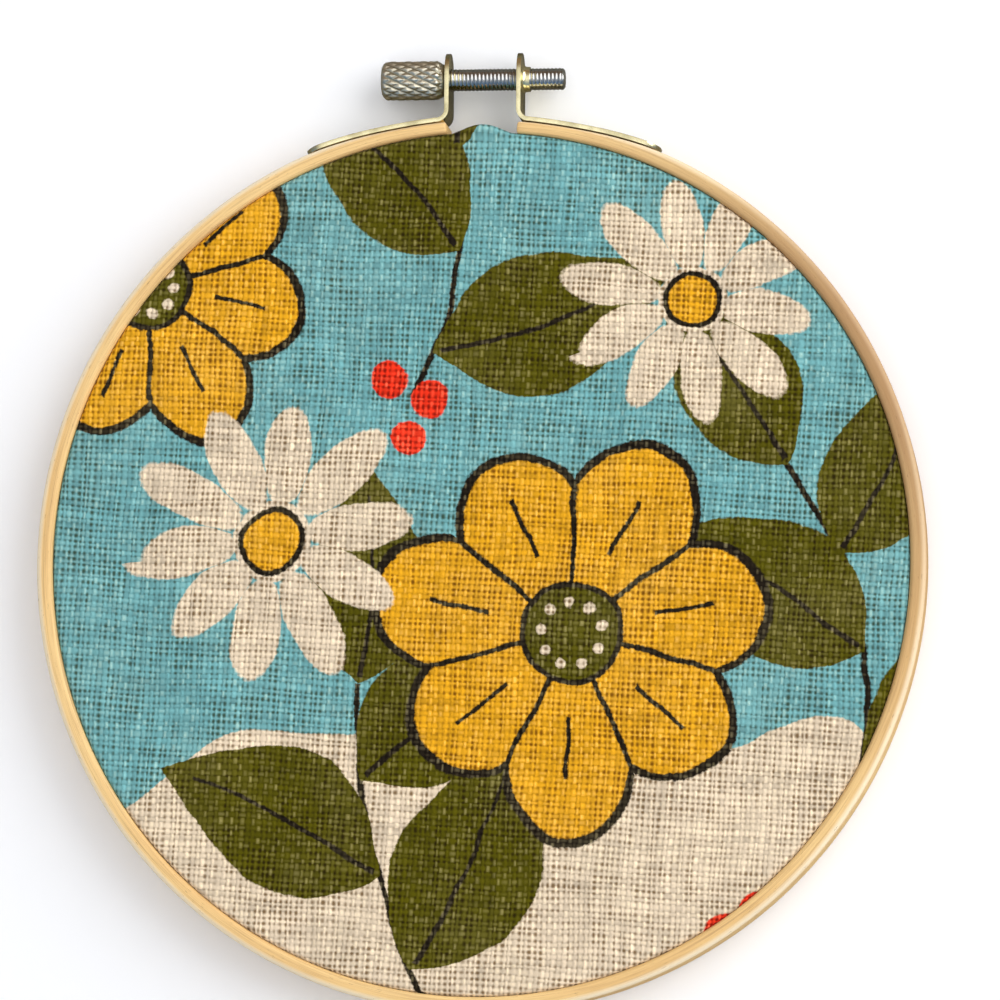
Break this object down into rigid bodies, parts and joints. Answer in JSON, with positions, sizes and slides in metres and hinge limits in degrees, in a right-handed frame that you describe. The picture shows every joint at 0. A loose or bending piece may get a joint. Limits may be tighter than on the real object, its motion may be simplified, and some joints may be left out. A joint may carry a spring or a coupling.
{
  "type": "printed cloth stretched in a wooden embroidery hoop",
  "caption": "Round piece of printed plain-weave cloth, stretched drum-tight in a split wooden embroidery hoop with a metal screw clamp and knurled thumbscrew.",
  "frame": {"origin": "middle of the bounding box at the hoop's back, on the plane that it lies on", "axes": "+Z out of the cloth's face, +Y from the hoop's centre to the screw clamp, +X to the right as seen from the face"},
  "size_m": [0.16, 0.1731, 0.01],
  "materials": {
    "wood": "pale sanded wood, satin",
    "cloth": "coarse plain weave, printed in turquoise, cream, mustard and olive",
    "bracket_brass": "pale brass plate, polished",
    "knob_nickel": "warm nickel plate, diamond knurl",
    "screw_steel": "zinc plate, threaded"
  },
  "bodies": {
    "hoop": {"inner_ring": "wood", "outer_ring": "wood", "cloth": "cloth", "bracket_left": "bracket_brass", "bracket_right": "bracket_brass"},
    "thumbscrew": {"knob": "knob_nickel", "screw_shaft": "screw_steel"}
  },
  "joints": [
    {"name": "thumbscrew_turn", "type": "hinge", "parent": "hoop", "child": "thumbscrew", "pos_m": [0, 0.08198, 0.005], "axis": [1, 0, 0], "continuous": true}
  ]
}
